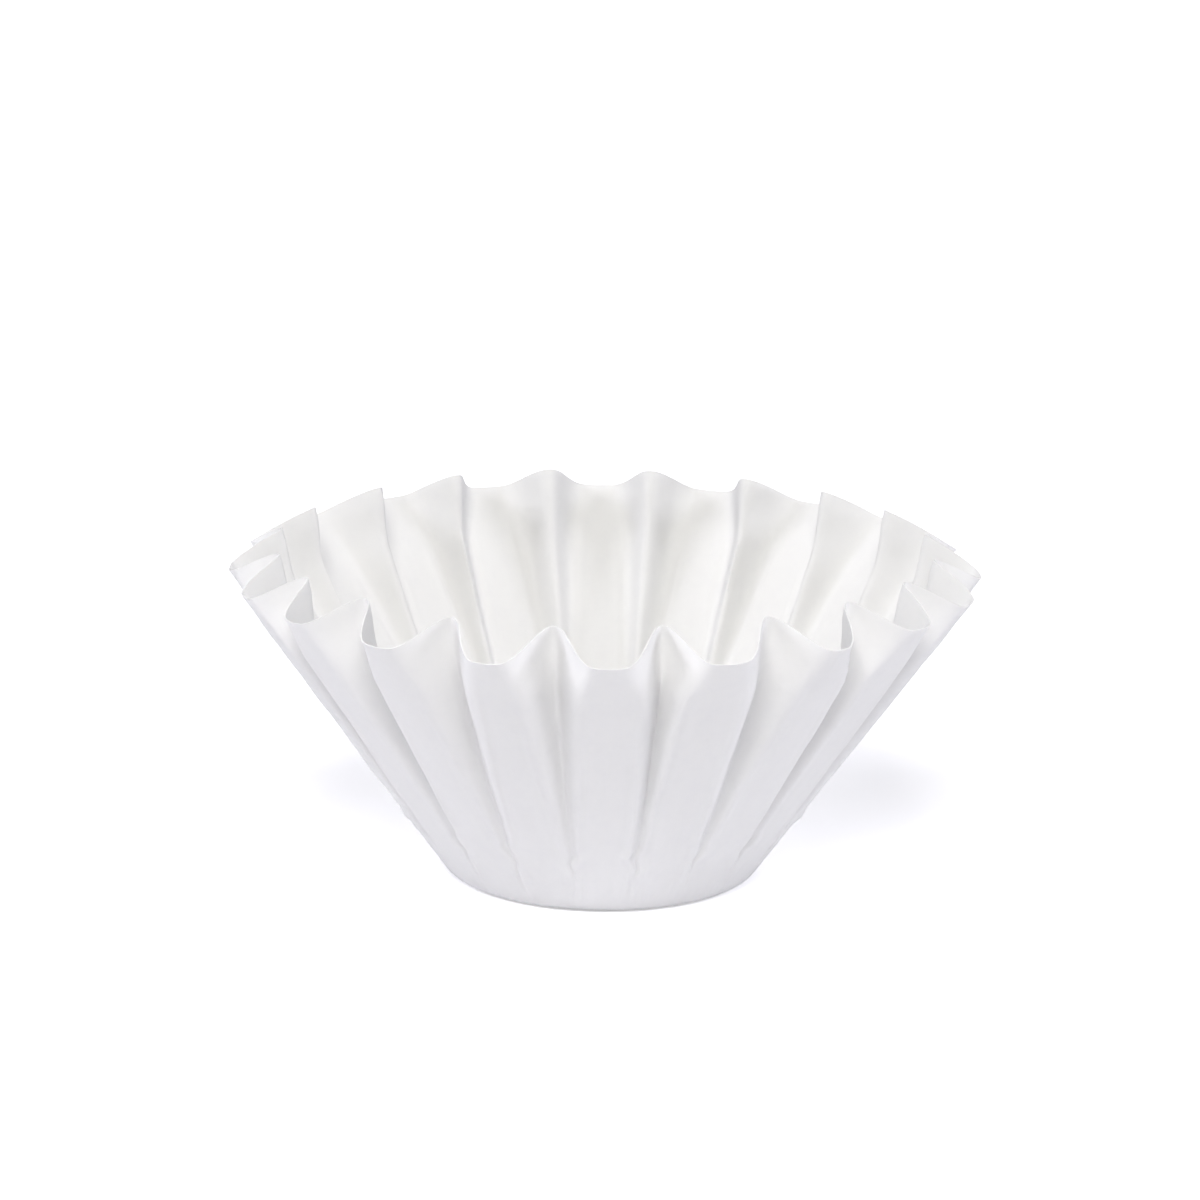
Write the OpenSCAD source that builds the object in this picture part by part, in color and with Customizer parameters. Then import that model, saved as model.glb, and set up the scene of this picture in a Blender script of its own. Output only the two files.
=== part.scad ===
// Fluted paper coffee filter: one round sheet of paper, pressed into a cup with a flat base.
// The paper doesn't stretch, so a groove that turns inwards also stands higher at the rim.
// Millimetres. The origin is the middle of the base, on its underside, and +Z is up.

/* [Paper] */
// Diameter of the flat round sheet that the cup is pressed from
sheet_d = 185; // [170:1:220]
// Thickness of the paper
paper_t = 0.2; // [0.15:0.05:0.5]

/* [Cup] */
// Diameter of the base, out to where base and wall would meet without the rounded heel
base_d = 53; // [46:1:62]
// Outer radius of the rounded heel between base and wall
heel_r = 4; // [2:0.5:6]
// Diameter across the flute crests at the rim
rim_d = 130; // [120:1:140]

/* [Flutes] */
// Number of flutes round the wall
flute_count = 20; // [16:4:24]
// Depth of a groove at the rim, measured level from crest to groove
groove_depth = 8.2; // [4:0.2:10]
// Width of plain crest left between two grooves at the rim
crest_w = 2; // [1:0.5:6]
// Length of wall below the grooves, measured up the slant from the base
plain_band = 12; // [9:0.5:16]

/* [Crease at the foot of a groove] */
// Length of the crease that runs down from each groove, measured along the slant
crease_run = 5; // [2:0.5:5]
// Depth of the crease where it meets the groove
crease_depth = 0.4; // [0.2:0.1:0.8]
// Width of the crease
crease_w = 2; // [1.2:0.2:3]

/* [Hidden] */

paper_colour = [0.93, 0.93, 0.92];

base_r = base_d / 2;
rim_r = rim_d / 2;
// The wall's slant length is what the sheet has left outside the base
slant = sheet_d / 2 - base_r;
groove_run = slant - plain_band;
// Width of a groove's mouth at the rim, measured round the crests
groove_w = PI * rim_d / flute_count - crest_w;
crease_start = plain_band - crease_run;
// How far a crest moves outwards for each millimetre up the slant
crest_lean = (rim_r - base_r) / slant;
// How far the crease and the groove turn inwards for each millimetre up the slant
crease_turn = crease_depth / crease_run;
groove_turn = (groove_depth - crease_depth) / groove_run;
// Angle that the heel bends through, and the length of wall that its arc takes up
heel_angle = acos(crest_lean);
heel_tangent = heel_r * tan(heel_angle / 2);

// Facets across half a groove, across a crest, round the heel's arc and up the grooves
groove_steps = 5;
crest_steps = 4;
heel_steps = 3;
rise_steps = 3;
columns = 2 * groove_steps + crest_steps;
column_count = columns * flute_count;
flute_angle = 360 / flute_count;
// Slants of the rings of points from the top of the heel to the rim
wall_slants = concat(
    [heel_tangent, crease_start],
    [for (i = [0:rise_steps]) plain_band + groove_run * i / rise_steps]
);
ring_count = heel_steps + len(wall_slants);
// Step for measuring the wall's slope, in slant and in columns
slope_step = 0.01;
// Form of the wave across a groove: 1 is a plain cosine, and more makes the crests rounder
wave_power = 1.5;

function between(a, b, share) = a + (b - a) * share;
function clamp(x, low, high) = min(max(x, low), high);
function unit(v) = v / norm(v);

// The crests lie on a plain cone. Grooves get deeper and wider in a straight line up the slant.
function crest_radius(s) = base_r + s * crest_lean;
function crease_part(s) = clamp(s - crease_start, 0, crease_run);
function groove_part(s) = max(s - plain_band, 0);
function depth(s) = crease_part(s) * crease_turn + groove_part(s) * groove_turn;
function half_mouth(s) = between(crease_w, groove_w, groove_part(s) / groove_run) / 2;

// Rise for each millimetre of slant, when the paper also turns inwards by the given amount
function rise(turn) = sqrt(1 - pow(crest_lean - turn, 2));
function height(s, share) =
    (s - crease_part(s) - groove_part(s)) * rise(0)
    + crease_part(s) * rise(crease_turn * share)
    + groove_part(s) * rise(groove_turn * share);

// Columns of points run from one groove's middle to the next. At the heel they are spread evenly,
// and above it they close in on the grooves.
even_mouth_angle = flute_angle * groove_steps / columns;
function paper_mouth_angle(s) = half_mouth(s) / crest_radius(s) * 180 / PI;
function mouth_angle(s) = s < crease_start
    ? between(even_mouth_angle, paper_mouth_angle(crease_start),
              max(s - heel_tangent, 0) / (crease_start - heel_tangent))
    : paper_mouth_angle(s);

// Distance of a column from the nearest groove's middle, 1 at the edge of its mouth
function from_groove(c) = min(c, columns - c, groove_steps) / groove_steps;
// Share of the groove's full depth, a smooth wave from 1 in the middle to 0 at the mouth
function groove_share(c) = pow((1 + cos(180 * from_groove(c))) / 2, wave_power);
function column_angle(s, c) = c <= groove_steps
    ? mouth_angle(s) * c / groove_steps
    : c >= columns - groove_steps
    ? flute_angle - mouth_angle(s) * (columns - c) / groove_steps
    : between(mouth_angle(s), flute_angle - mouth_angle(s), (c - groove_steps) / crest_steps);

// A crest points to the front, along -Y
first_angle = -90 - flute_angle / 2;
function place(radius, angle, z) = [
    radius * cos(first_angle + angle),
    radius * sin(first_angle + angle),
    z
];
function wall_point(s, c) = place(
    crest_radius(s) - depth(s) * groove_share(c),
    column_angle(s, c),
    height(s, groove_share(c))
);
function along_wall(s, c) = wall_point(s + slope_step, c) - wall_point(s - slope_step, c);
function across_wall(s, c) = wall_point(s, c + slope_step) - wall_point(s, c - slope_step);
function inwards(s, c) = unit(cross(along_wall(s, c), across_wall(s, c)));

// One ring of points is a flute's points, turned round once for each flute
function turned(p, angle) = [
    p.x * cos(angle) - p.y * sin(angle),
    p.x * sin(angle) + p.y * cos(angle),
    p.z
];
function repeated(points) = [
    for (flute = [0:flute_count - 1], p = points) turned(p, flute * flute_angle)
];
function heel_ring(angle, depth_in) = repeated([
    for (c = [0:columns - 1]) place(
        base_r - heel_tangent + (heel_r - depth_in) * sin(angle),
        column_angle(0, c),
        heel_r - (heel_r - depth_in) * cos(angle)
    )
]);
function wall_ring(s, depth_in) = repeated([
    for (c = [0:columns - 1]) wall_point(s, c) + depth_in * inwards(s, c)
]);
// One face of the paper, from the edge of the flat base to the rim
function skin(depth_in) = concat(
    [for (i = [0:heel_steps - 1]) each heel_ring(heel_angle * i / heel_steps, depth_in)],
    [for (s = wall_slants) each wall_ring(s, depth_in)]
);

// Two triangles for each patch between four points. Both halves of a flute are split alike.
function patch(a, b, c, d, leans_left) = leans_left
    ? [[a, b, c], [a, c, d]]
    : [[a, b, d], [b, c, d]];
function ring_index(ring, column) = ring * column_count + column % column_count;
function band(low, high) = [
    for (i = [0:column_count - 1]) each patch(
        ring_index(low, i), ring_index(high, i),
        ring_index(high, i + 1), ring_index(low, i + 1),
        i % columns < columns / 2
    )
];

// The paper: an outer skin, an inner skin one thickness inside it, and the cut edge at the rim
module filter() {
    outer_rim = ring_count - 1;
    inner_base = ring_count;
    inner_rim = 2 * ring_count - 1;
    color(paper_colour)
        polyhedron(
            points = concat(skin(0), skin(paper_t)),
            faces = concat(
                [[for (i = [0:column_count - 1]) ring_index(0, i)]],
                [for (ring = [0:outer_rim - 1]) each band(ring, ring + 1)],
                band(outer_rim, inner_rim),
                [for (ring = [inner_base:inner_rim - 1]) each band(ring + 1, ring)],
                [[for (i = [column_count - 1:-1:0]) ring_index(inner_base, i)]]
            ),
            convexity = 10
        );
}

filter();
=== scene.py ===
import math

import bpy
from mathutils import Matrix, Vector


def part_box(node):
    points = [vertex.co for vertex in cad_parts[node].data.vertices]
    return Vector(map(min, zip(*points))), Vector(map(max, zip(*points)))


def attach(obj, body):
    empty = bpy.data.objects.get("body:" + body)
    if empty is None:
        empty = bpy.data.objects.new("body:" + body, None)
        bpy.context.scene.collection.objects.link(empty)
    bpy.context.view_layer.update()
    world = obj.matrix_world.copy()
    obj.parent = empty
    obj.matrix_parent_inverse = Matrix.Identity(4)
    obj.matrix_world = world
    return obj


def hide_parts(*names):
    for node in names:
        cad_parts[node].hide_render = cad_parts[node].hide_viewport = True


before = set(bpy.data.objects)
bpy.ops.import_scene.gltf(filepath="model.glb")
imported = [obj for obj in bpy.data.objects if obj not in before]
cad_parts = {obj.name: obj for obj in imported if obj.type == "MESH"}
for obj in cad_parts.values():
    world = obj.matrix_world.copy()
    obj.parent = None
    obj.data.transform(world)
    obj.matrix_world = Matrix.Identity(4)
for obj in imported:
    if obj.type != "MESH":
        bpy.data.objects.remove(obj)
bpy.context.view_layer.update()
filterLow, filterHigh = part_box("filter")
scene = bpy.context.scene
print("frame loaded")

mm = 0.001


# Node trees

class Part:  # wraps one output socket, so that sums are written as Python expressions
    def __init__(self, tree, socket):
        self.tree = tree
        self.socket = socket

    def math(self, operation, *others):
        return self.tree.node("ShaderNodeMath", {"operation": operation}, self, *others)

    def __add__(self, other):
        return self.math("ADD", other)

    def __radd__(self, other):
        return self.math("ADD", other)

    def __sub__(self, other):
        return self.math("SUBTRACT", other)

    def __rsub__(self, other):
        return self.tree.node("ShaderNodeMath", {"operation": "SUBTRACT"}, other, self)

    def __mul__(self, other):
        return self.math("MULTIPLY", other)

    def __rmul__(self, other):
        return self.math("MULTIPLY", other)

    def __truediv__(self, other):
        return self.math("DIVIDE", other)

    def __rtruediv__(self, other):
        return self.tree.node("ShaderNodeMath", {"operation": "DIVIDE"}, other, self)

    def __pow__(self, other):
        return self.math("POWER", other)

    def low(self, other):
        return self.math("MINIMUM", other)

    def high(self, other):
        return self.math("MAXIMUM", other)

    def clamp(self, least=0.0, most=1.0):
        return self.high(least).low(most)

    def cos(self):
        return self.math("COSINE")

    def sin(self):
        return self.math("SINE")

    def sqrt(self):
        return self.math("SQRT")

    def floor(self):
        return self.math("FLOOR")

    def wrap(self, size):
        return self.math("FLOORED_MODULO", size)

    def smooth(self, start, end):  # 0 before start, 1 after end
        share = ((self - start) / (end - start)).clamp()
        return share * share * (3 - 2 * share)


class Tree:
    def __init__(self, nodes):
        self.nodes = nodes

    def node(self, kind, settings=None, *values, named=None, output=0):
        made = self.nodes.nodes.new(kind)
        for name, value in (settings or {}).items():
            setattr(made, name, value)
        for index, value in [*enumerate(values), *(named or {}).items()]:
            if isinstance(value, Part):
                self.nodes.links.new(value.socket, made.inputs[index])
            elif value is not None:
                made.inputs[index].default_value = value
        return Part(self, made.outputs[output]) if made.outputs else None


# Paper

paperLook = {
    "colour": (0.84, 0.84, 0.835),
    "thinColour": (0.79, 0.79, 0.80),
    "thinShare": 0.25,  # how far the clouds and the fibres each take the colour there
    "roughness": 0.92,
    "specular": 0.25,
    "letThrough": 0.27,  # share of the light that passes through the sheet
    "throughColour": (0.89, 0.885, 0.875),
    "fibreHeight": 0.012,  # millimetres
    "cloudHeight": 0.5,  # as a share of the fibres'
    "bumpStrength": 0.5,
}
grains = {  # sizes in millimetres, and the noise values between which the paper turns thin
    "clouds": {"size": 2.5, "detail": 3.0, "roughness": 0.6, "distortion": 0.0, "thin": (0.42, 0.70)},
    "fibres": {"size": 0.35, "detail": 4.0, "roughness": 0.65, "distortion": 0.6, "thin": (0.45, 0.75)},
}


def paperMaterial():
    material = bpy.data.materials.new("filterPaper")
    material.use_nodes = True
    material.node_tree.nodes.clear()
    tree = Tree(material.node_tree)
    place = tree.node("ShaderNodeTexCoord", output=3)

    def grain(name):
        choice = grains[name]
        return tree.node(
            "ShaderNodeTexNoise",
            {"noise_dimensions": "3D"},
            named={
                "Vector": place,
                "Scale": 1 / (choice["size"] * mm),
                "Detail": choice["detail"],
                "Roughness": choice["roughness"],
                "Distortion": choice["distortion"],
            },
        )

    clouds = grain("clouds")
    fibres = grain("fibres")
    thinness = clouds.smooth(*grains["clouds"]["thin"]) + fibres.smooth(*grains["fibres"]["thin"])
    colour = tree.node(
        "ShaderNodeMix",
        {"data_type": "RGBA"},
        named={
            0: thinness * paperLook["thinShare"],
            6: (*paperLook["colour"], 1),
            7: (*paperLook["thinColour"], 1),
        },
        output=2,
    )
    bump = tree.node(
        "ShaderNodeBump",
        named={
            "Strength": paperLook["bumpStrength"],
            "Distance": paperLook["fibreHeight"] * mm,
            "Height": fibres + clouds * paperLook["cloudHeight"],
        },
    )
    surface = tree.node(
        "ShaderNodeBsdfPrincipled",
        named={
            "Base Color": colour,
            "Roughness": paperLook["roughness"],
            "Specular IOR Level": paperLook["specular"],
            "Normal": bump,
        },
    )
    through = tree.node(
        "ShaderNodeBsdfTranslucent",
        named={"Color": (*paperLook["throughColour"], 1), "Normal": bump},
    )
    both = tree.node("ShaderNodeMixShader", None, paperLook["letThrough"], surface, through)
    tree.node("ShaderNodeOutputMaterial", named={"Surface": both})
    return material


# The filter

filterSizes = {  # lengths in millimetres
    "Sheet Diameter": 185.0,
    "Base Diameter": 53.0,
    "Heel Radius": 4.0,
    "Rim Diameter": (filterHigh.x - filterLow.x) / mm,
    "Flutes": 20.0,
    "Groove Depth": 8.2,
    "Crest Width": 2.0,  # plain crest between two grooves at the rim
    "Plain Band": 12.0,  # slant of the wall below the grooves
    "Crease Run": 5.0,
    "Crease Depth": 0.3,
    "Crease Width": 1.2,
    "Crest Bulge": 0.12,
    "Groove Waist": 0.36,  # how much narrower a groove is halfway up than a straight dart
    "Groove Pinch": 0.10,  # how much sharper its bottom is there than at the rim
    "Fold Line": 0.14,  # height of the line pressed along a crest's edge
    "Foot Kink": 0.55,  # sideways jog of a groove where it runs out
    "Foot Bump": 0.45,
    "Crease Tail": 0.12,  # depth of the faint line that runs on from a crease towards the heel
    "Unevenness": 1.0,
    "Seed": 7.0,
}
grooveColumns = 16  # across half a groove
crestColumns = 10
flutesRound = int(filterSizes["Flutes"])
baseRows, heelRows, footRows, wallRows = 3, 6, 22, 19
footTop = 20.0  # slant up to which the rows are close together
columnNudge = 0.00001  # puts a column on the border of two flutes into the second one
mergeDistance = 0.00001  # metres
paperThickness = 0.2  # millimetres
sharpAngle = 60  # degrees

grooveForm = {
    "wave": 1.5,  # 1 is a plain cosine across a groove, and more makes the crests rounder
    "opening": 0.55,  # below 1, the depth comes sooner than in a straight dart
    "leastUp": 0.001,  # keeps that power off 0
    "waistStart": (0.0, 0.3),  # shares of the groove's length over which the waist comes in
    "waistEnd": (0.8, 1.0),  # and goes out
    "waistDepth": 0.8,  # how much of the waist comes off the depth too
    "swayAtFoot": 0.3,  # share of its sway that a groove has at the foot
    "footReach": 1.9,  # millimetres beside a groove's foot that its close columns cover
}
strays = {  # random amounts of each groove's own: which draw, and how far it goes either way
    "sway": (1, 0.035),  # share of the pitch
    "mouth": (2, 0.07),  # shares of the usual width, depth and waist
    "depth": (3, 0.06),
    "waist": (16, 0.5),
    "highKink": (4, 1.0),  # millimetres up or down
    "lowKink": (5, 0.8),
    "highBump": (5, 0.8),
    "lowBump": (4, 0.9),
    "side": (6, 1.0),  # its sign is the side that kinks and bumps go to
    "bump": (7, 0.4),  # shares of the usual height
    "tail": (8, 0.6),
}
foot = {  # what shows where a groove runs out: places up the slant and sizes, in millimetres
    "highKink": 15.5,
    "highKinkRun": 1.3,
    "lowKink": 12.3,
    "lowKinkRun": 1.2,
    "lowKinkShare": 0.9,  # of the high one's jog, and to the other side
    "highBump": 14.6,
    "highBumpRun": 1.5,
    "highBumpAside": 1.5,
    "lowBump": 10.6,
    "lowBumpRun": 1.7,
    "lowBumpAside": 1.3,
    "lowBumpShare": 0.8,
    "bumpWidth": 0.9,
    "bumpHeight": 0.7,  # share of the height that a bump has without its stray
    "tailWidth": 0.45,
    "tailStart": (2.0, 4.5),
    "tailEnd": (7.0, 10.0),
}
foldLine = {  # millimetres, with starts and ends up the slant
    "width": 0.42,
    "hollow": 0.7,  # depth of the hollow beside the line, as a share of its height
    "hollowAside": 1.2,
    "hollowWidth": 0.6,
    "start": (13.0, 22.0),
    "end": (50.0, 62.0),
    "usual": 0.75,  # share of its height that it has where it is neither pressed nor slack
    "most": 1.3,
}
crestForm = {
    "start": (12.0, 24.0),  # slant over which a crest's bulge comes in
    "leastHalf": 0.5,  # least half width of a crest, in millimetres
}
ripples = {  # round is how fine they are round the wall, climb how fast they change up it
    "bend": {"round": 1.3, "climb": 0.004, "draw": 11, "detail": 0.0, "height": 1.0},
    "soft": {"round": 9.0, "climb": 0.012, "draw": 12, "detail": 2.0, "height": 0.32},
    "gathers": {"round": 38.0, "climb": 0.006, "draw": 13, "detail": 2.0, "height": 0.15},
    "pressing": {"round": 6.0, "climb": 0.05, "draw": 14, "detail": 2.0, "height": 1.6},
}
softStart = (2.0, 14.0)  # millimetres up the slant, as in the next two
gathersStart = (1.0, 4.0)
gathersEnd = (9.0, 20.0)


def filterTree(paper):
    nodes = bpy.data.node_groups.new("pressedFilter", "GeometryNodeTree")
    nodes.is_modifier = True
    nodes.interface.new_socket("Geometry", in_out="OUTPUT", socket_type="NodeSocketGeometry")
    for name, value in filterSizes.items():
        item = nodes.interface.new_socket(name, in_out="INPUT", socket_type="NodeSocketFloat")
        item.default_value = value
    tree = Tree(nodes)
    given = nodes.nodes.new("NodeGroupInput")
    size = {name: Part(tree, given.outputs[name]) for name in filterSizes}

    columns = 2 * grooveColumns + crestColumns
    rows = baseRows + heelRows + footRows + wallRows
    grid = tree.node("GeometryNodeMeshGrid", None, 1.0, 1.0, columns * flutesRound + 1, rows + 1)
    corner = tree.node("GeometryNodeInputPosition")
    across = tree.node("ShaderNodeSeparateXYZ", None, corner) + 0.5
    row = (tree.node("ShaderNodeSeparateXYZ", None, corner, output=1) + 0.5) * rows

    # Sizes worked out from the inputs
    baseRadius = size["Base Diameter"] / 2
    slant = size["Sheet Diameter"] / 2 - baseRadius
    crestLean = (size["Rim Diameter"] / 2 - baseRadius) / slant
    heelAngle = crestLean.math("ARCCOSINE")
    heelTangent = size["Heel Radius"] * (heelAngle / 2).math("TANGENT")
    plainRise = (1 - crestLean * crestLean).sqrt()
    creaseStart = size["Plain Band"] - size["Crease Run"]
    grooveRun = slant - size["Plain Band"]
    creaseTurn = size["Crease Depth"] / size["Crease Run"]
    grooveTurn = (size["Groove Depth"] - size["Crease Depth"]) / grooveRun
    pitch = 2 * math.pi / size["Flutes"]
    grooveWidth = math.pi * size["Rim Diameter"] / size["Flutes"] - size["Crest Width"]

    # How far up the sheet this row is: flat base, heel, foot of the wall, wall
    onBase = (row / baseRows).clamp()
    onHeel = ((row - baseRows) / heelRows).clamp()
    onFoot = ((row - baseRows - heelRows) / footRows).clamp()
    onWall = ((row - baseRows - heelRows - footRows) / wallRows).clamp()
    slantHere = heelTangent + (footTop - heelTangent) * onFoot + (slant - footTop) * onWall
    crestRadius = baseRadius + slantHere * crestLean
    up = ((slantHere - size["Plain Band"]) / grooveRun).clamp()  # share of the groove's length

    # Which groove is on each side, and how far across the flute this column is
    cell = across * size["Flutes"] + columnNudge
    flute = cell.floor()
    acrossFlute = (cell - flute).clamp()
    leftGroove = flute.wrap(size["Flutes"])
    rightGroove = (flute + 1).wrap(size["Flutes"])
    fromLeft = (acrossFlute * columns / grooveColumns).clamp()
    fromRight = ((1 - acrossFlute) * columns / grooveColumns).clamp()
    onCrest = ((acrossFlute * columns - grooveColumns) / crestColumns).clamp()
    nearRight = acrossFlute.math("GREATER_THAN", 0.5)

    def chance(index, name):  # a random number of its own for each groove
        draw, spread = strays[name]
        value = tree.node(
            "FunctionNodeRandomValue",
            {"data_type": "FLOAT"},
            named={2: -1.0, 3: 1.0, "ID": index, "Seed": size["Seed"] + draw},
            output=1,
        )
        return value * spread * size["Unevenness"]

    def nearest(name):
        left = chance(leftGroove, name)
        return left + (chance(rightGroove, name) - left) * nearRight

    def hump(value, width):  # 1 where the value is 0, falling off to either side
        return (-1 * (value / width) ** 2).math("EXPONENT")

    # Each groove's middle sways a little, and jogs to and fro where the groove runs out
    def middle(index, whole):
        high = slantHere - foot["highKink"] - chance(index, "highKink")
        low = slantHere - foot["lowKink"] - chance(index, "lowKink")
        jog = hump(high, foot["highKinkRun"]) - foot["lowKinkShare"] * hump(low, foot["lowKinkRun"])
        side = chance(index, "side")
        shift = (side.math("SIGN") + side) / 2 * size["Foot Kink"] * jog / crestRadius
        swayHere = grooveForm["swayAtFoot"] + (1 - grooveForm["swayAtFoot"]) * up
        return (whole + chance(index, "sway") * swayHere) * pitch + shift

    halfMouth = (size["Crease Width"] + (grooveWidth - size["Crease Width"]) * up) / 2
    reach = (halfMouth + grooveForm["footReach"] * (1 - up) ** 2) / crestRadius
    evenAngle = pitch * grooveColumns / columns
    spreadOut = ((slantHere - heelTangent) / (creaseStart - heelTangent)).clamp()
    reach = evenAngle + (reach - evenAngle) * spreadOut
    leftMiddle = middle(leftGroove, flute)
    rightMiddle = middle(rightGroove, flute + 1)
    crestAngle = rightMiddle - leftMiddle - 2 * reach
    angle = leftMiddle + reach * fromLeft + crestAngle * onCrest + reach * (1 - fromRight)

    # How deep the groove is here
    fromMiddle = angle - leftMiddle - (rightMiddle - leftMiddle) * nearRight
    sideways = fromMiddle * crestRadius
    halfway = up.smooth(*grooveForm["waistStart"]) * (1 - up.smooth(*grooveForm["waistEnd"]))
    waist = size["Groove Waist"] * (1 + nearest("waist")) * halfway
    mouthHere = halfMouth * (1 + nearest("mouth") * up) * (1 - waist)
    distance = sideways.math("ABSOLUTE")
    pinch = 1 - size["Groove Pinch"] * halfway
    share = (((distance / mouthHere).clamp() ** pinch * math.pi).cos() + 1) / 2
    share = share ** grooveForm["wave"]
    creasePart = (slantHere - creaseStart).clamp(0.0, size["Crease Run"])
    groovePart = (slantHere - size["Plain Band"]).high(0.0)
    steepness = up.high(grooveForm["leastUp"]) ** grooveForm["opening"]
    grooveTurn = grooveTurn * (1 + nearest("depth")) * steepness
    grooveTurn = grooveTurn * (1 - grooveForm["waistDepth"] * waist)
    depth = (creasePart * creaseTurn + groovePart * grooveTurn) * share

    # Paper doesn't stretch, so what turns inwards also rises more
    def rise(turn):
        lean = crestLean - turn
        return (1 - lean * lean).sqrt() - plainRise

    lift = creasePart * rise(creaseTurn * share) + groovePart * rise(grooveTurn * share)

    # Small unevenness of a pressed sheet, measured out of the wall
    def ripple(name):
        choice = ripples[name]
        spot = tree.node(
            "ShaderNodeCombineXYZ", None, angle.cos(), angle.sin(), slantHere * choice["climb"]
        )
        value = tree.node(
            "ShaderNodeTexNoise",
            {"noise_dimensions": "4D"},
            named={
                "Vector": spot,
                "W": size["Seed"] + choice["draw"],
                "Scale": choice["round"],
                "Detail": choice["detail"],
            },
        )
        return (value - 0.5) * 2 * size["Unevenness"] * choice["height"]  # either way from 0

    def between(start, end):  # 1 on the stretch of slant from start to end
        return slantHere.smooth(*start) * (1 - slantHere.smooth(*end))

    bend = ripple("bend") * up
    soft = ripple("soft") * slantHere.smooth(*softStart)
    gathers = ripple("gathers") * between(gathersStart, gathersEnd)
    halfCrest = (pitch * crestRadius / 2 - mouthHere).high(crestForm["leastHalf"])
    crestShare = ((distance - mouthHere) / halfCrest).clamp()
    bulge = size["Crest Bulge"] * (1 - (1 - crestShare) ** 2) * slantHere.smooth(*crestForm["start"])
    pressed = (ripple("pressing") + foldLine["usual"]).clamp(0.0, foldLine["most"])
    pressed = between(foldLine["start"], foldLine["end"]) * pressed * size["Fold Line"]
    fromEdge = distance - mouthHere
    hollow = hump(fromEdge - foldLine["hollowAside"], foldLine["hollowWidth"])
    ridge = hump(fromEdge, foldLine["width"]) - foldLine["hollow"] * hollow
    facing = nearest("side").math("SIGN") * sideways
    high = slantHere - foot["highBump"] + nearest("highBump")
    low = slantHere - foot["lowBump"] + nearest("lowBump")
    bumps = hump(facing - foot["highBumpAside"], foot["bumpWidth"]) * hump(high, foot["highBumpRun"])
    lowBump = hump(facing + foot["lowBumpAside"], foot["bumpWidth"]) * hump(low, foot["lowBumpRun"])
    bumps = bumps + foot["lowBumpShare"] * lowBump
    bumps = bumps * size["Foot Bump"] * (foot["bumpHeight"] + nearest("bump"))
    tail = hump(distance, foot["tailWidth"]) * between(foot["tailStart"], foot["tailEnd"])
    tail = tail * size["Crease Tail"] * (1 + nearest("tail"))
    out = bend + soft + gathers + bulge + pressed * ridge + bumps - tail
    out = out * onHeel  # the base stays flat

    # The point itself
    heelTurn = heelAngle * onHeel
    radius = (baseRadius - heelTangent) * onBase + size["Heel Radius"] * heelTurn.sin()
    radius = radius + (slantHere - heelTangent) * crestLean - depth + out * plainRise
    height = size["Heel Radius"] * (1 - heelTurn.cos())
    height = height + (slantHere - heelTangent) * plainRise + lift - out * crestLean
    turned = angle - math.pi / 2 - pitch / 2  # a crest points to the front
    point = tree.node(
        "ShaderNodeCombineXYZ",
        None,
        radius * turned.cos() * mm,
        radius * turned.sin() * mm,
        height * mm,
    )
    pressedSheet = tree.node("GeometryNodeSetPosition", named={"Geometry": grid, "Position": point})
    joined = tree.node(
        "GeometryNodeMergeByDistance", named={"Geometry": pressedSheet, "Distance": mergeDistance}
    )
    smoothed = tree.node("GeometryNodeSetShadeSmooth", named={0: joined})
    real = tree.node("GeometryNodeRealizeInstances", named={0: smoothed})
    finished = tree.node("GeometryNodeSetMaterial", named={"Geometry": real, "Material": paper})
    nodes.links.new(finished.socket, nodes.nodes.new("NodeGroupOutput").inputs[0])
    return nodes


def makeFilter():
    paper = paperMaterial()
    start = bpy.data.objects.new("filterStart", bpy.data.meshes.new("filterStart"))
    scene.collection.objects.link(start)
    press = start.modifiers.new("press", "NODES")
    press.node_group = filterTree(paper)
    for item in press.node_group.interface.items_tree:
        if item.in_out == "INPUT":
            press[item.identifier] = filterSizes[item.name]
    shell = start.modifiers.new("thickness", "SOLIDIFY")
    shell.thickness = paperThickness * mm
    shell.offset = -1.0
    shell.use_even_offset = True
    shell.use_quality_normals = True
    settled = start.evaluated_get(bpy.context.evaluated_depsgraph_get())
    mesh = bpy.data.meshes.new_from_object(settled)
    mesh.name = "paperFilter"
    mesh.set_sharp_from_angle(angle=math.radians(sharpAngle))
    bpy.data.objects.remove(start)
    piece = bpy.data.objects.new("paperFilter", mesh)
    scene.collection.objects.link(piece)
    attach(piece, "root")
    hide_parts("filter")
    print("filter pressed:", len(mesh.vertices), "points,", len(mesh.polygons), "faces")
    return piece


# Floor, light and camera

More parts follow.
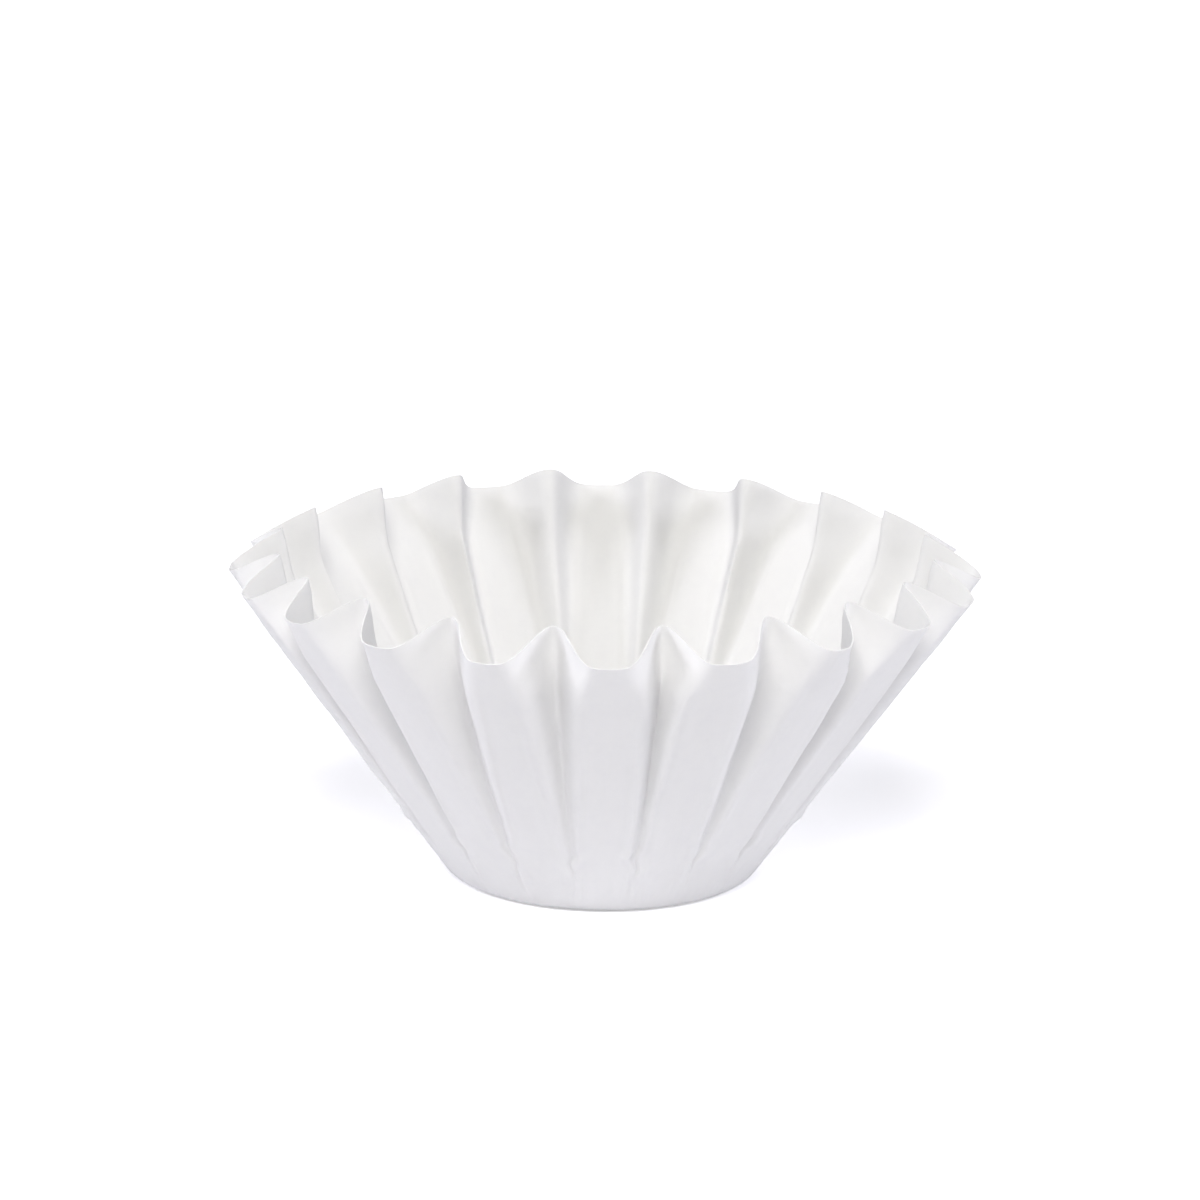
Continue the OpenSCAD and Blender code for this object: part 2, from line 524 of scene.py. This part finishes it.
studio = {  # metres
    "floorSize": 4.0,
    "floorDrop": 0.00005,  # a hair under the base, so that the two don't lie in one plane
    "floorColour": (0.89, 0.888, 0.93),
    "floorGlow": 0.47,  # only where the camera sees the floor, so that it is white but for the shadow
    "farGlow": 0.30,  # added to it away from the filter
    "farFrom": (0.25, 0.9),  # distances between which it comes in
    "skyColour": (0.88, 0.88, 1.0),
    "skyStrength": 0.05,
    "lampAim": 0.03,  # height of what the lamps point at
}
lamps = {  # turn from the front and height in degrees, distance and size in metres, power in watts
    "left": {
        "turn": -80,
        "height": 30,
        "far": 1.3,
        "size": 0.4,
        "power": 7.6,
        "colour": (0.93, 0.93, 1.0),
    },
    "right": {
        "turn": 80,
        "height": 30,
        "far": 1.3,
        "size": 0.4,
        "power": 6.6,
        "colour": (0.93, 0.93, 1.0),
    },
    "lowLeft": {
        "turn": -62,
        "height": 3.5,
        "far": 1.3,
        "size": 0.2,
        "power": 1.5,
        "colour": (0.93, 0.93, 1.0),
    },
    "lowRight": {
        "turn": 62,
        "height": 3.5,
        "far": 1.3,
        "size": 0.2,
        "power": 2.2,
        "colour": (0.93, 0.93, 1.0),
    },
    "high": {
        "turn": -5,
        "height": 46,
        "far": 1.4,
        "size": 0.6,
        "power": 17.5,
        "colour": (1.0, 0.985, 0.945),
    },
    "behind": {  # glows through the paper's far side
        "turn": 180,
        "height": 14,
        "far": 1.3,
        "size": 0.6,
        "power": 3.5,
        "colour": (1.0, 0.985, 0.95),
    },
}


def direction(turn, height):  # from the object, where 0 and 0 is level towards the front
    turn, height = math.radians(turn), math.radians(height)
    level = Vector((math.sin(turn), -math.cos(turn), 0))
    return level * math.cos(height) + Vector((0, 0, math.sin(height)))


def lookFrom(place, target):  # stands at the place, turned towards the target
    back = (Vector(place) - Vector(target)).normalized()
    return Matrix.Translation(place) @ back.to_track_quat("Z", "Y").to_matrix().to_4x4()


def makeLamp(name):
    choice = lamps[name]
    lamp = bpy.data.lights.new(name, "AREA")
    lamp.shape = "SQUARE"
    lamp.size = choice["size"]
    lamp.energy = choice["power"]
    lamp.color = choice["colour"]
    holder = bpy.data.objects.new(name, lamp)
    scene.collection.objects.link(holder)
    aim = Vector((0, 0, studio["lampAim"]))
    away = direction(choice["turn"], choice["height"]) * choice["far"]
    holder.matrix_world = lookFrom(aim + away, aim)


# 1 for what the camera sees, straight or in a reflection or through glass. Light that passes
# through paper comes as diffuse rays, and isn't counted.
def makeSeen(tree):
    straight = tree.node("ShaderNodeLightPath")
    diffuse = tree.node("ShaderNodeLightPath", output=2)
    glossy = tree.node("ShaderNodeLightPath", output=3)
    through = tree.node("ShaderNodeLightPath", output=6)
    return straight.high(glossy).high(through * (1 - diffuse))


def makeFloor():
    half = studio["floorSize"] / 2
    mesh = bpy.data.meshes.new("floor")
    low = -studio["floorDrop"]
    corners = [(-half, -half, low), (half, -half, low), (half, half, low), (-half, half, low)]
    mesh.from_pydata(corners, [], [(0, 1, 2, 3)])
    material = bpy.data.materials.new("paleFloor")
    material.use_nodes = True
    material.node_tree.nodes.clear()
    tree = Tree(material.node_tree)
    plain = tree.node("ShaderNodeBsdfDiffuse", named={"Color": (*studio["floorColour"], 1)})
    place = tree.node("ShaderNodeTexCoord", output=3)
    away = tree.node("ShaderNodeVectorMath", {"operation": "LENGTH"}, place, output=1)
    strength = studio["floorGlow"] + studio["farGlow"] * away.smooth(*studio["farFrom"])
    glow = tree.node("ShaderNodeEmission", named={"Color": (1, 1, 1, 1), "Strength": strength})
    whiter = tree.node("ShaderNodeAddShader", None, plain, glow)
    shown = tree.node("ShaderNodeMixShader", None, makeSeen(tree), plain, whiter)
    tree.node("ShaderNodeOutputMaterial", named={"Surface": shown})
    mesh.materials.append(material)
    floor = bpy.data.objects.new("floor", mesh)
    scene.collection.objects.link(floor)


def makeSky():
    world = bpy.data.worlds.new("sky")
    world.use_nodes = True
    world.node_tree.nodes.clear()
    tree = Tree(world.node_tree)
    soft = tree.node(
        "ShaderNodeBackground",
        named={"Color": (*studio["skyColour"], 1), "Strength": studio["skyStrength"]},
    )
    white = tree.node("ShaderNodeBackground", named={"Color": (1, 1, 1, 1), "Strength": 1.0})
    shown = tree.node("ShaderNodeMixShader", None, makeSeen(tree), soft, white)
    tree.node("ShaderNodeOutputWorld", named={"Surface": shown})
    scene.world = world


view = {  # metres and degrees, and the lens in millimetres
    "distance": 1.0,
    "elevation": 14.50,
    "azimuth": -0.96,
    "roll": 0.80,
    "lens": 172.9,
    "aimRight": -0.00075,
    "aimUp": 0.04846,
    "nearest": 0.1,  # what lies between these two is seen
    "farthest": 20,
}


def makeCamera():
    back = direction(view["azimuth"], view["elevation"])
    right = Vector((0, 0, 1)).cross(back).normalized()
    target = right * view["aimRight"] + Vector((0, 0, view["aimUp"]))
    camera = bpy.data.cameras.new("camera")
    camera.lens = view["lens"]
    camera.clip_start = view["nearest"]
    camera.clip_end = view["farthest"]
    holder = bpy.data.objects.new("camera", camera)
    scene.collection.objects.link(holder)
    roll = Matrix.Rotation(math.radians(view["roll"]), 4, "Z")
    holder.matrix_world = lookFrom(target + back * view["distance"], target) @ roll
    scene.camera = holder


makeCamera()
makeFilter()
makeFloor()
makeSky()
for name in lamps:
    makeLamp(name)
scene.view_settings.view_transform = "Standard"
print("scene ready")
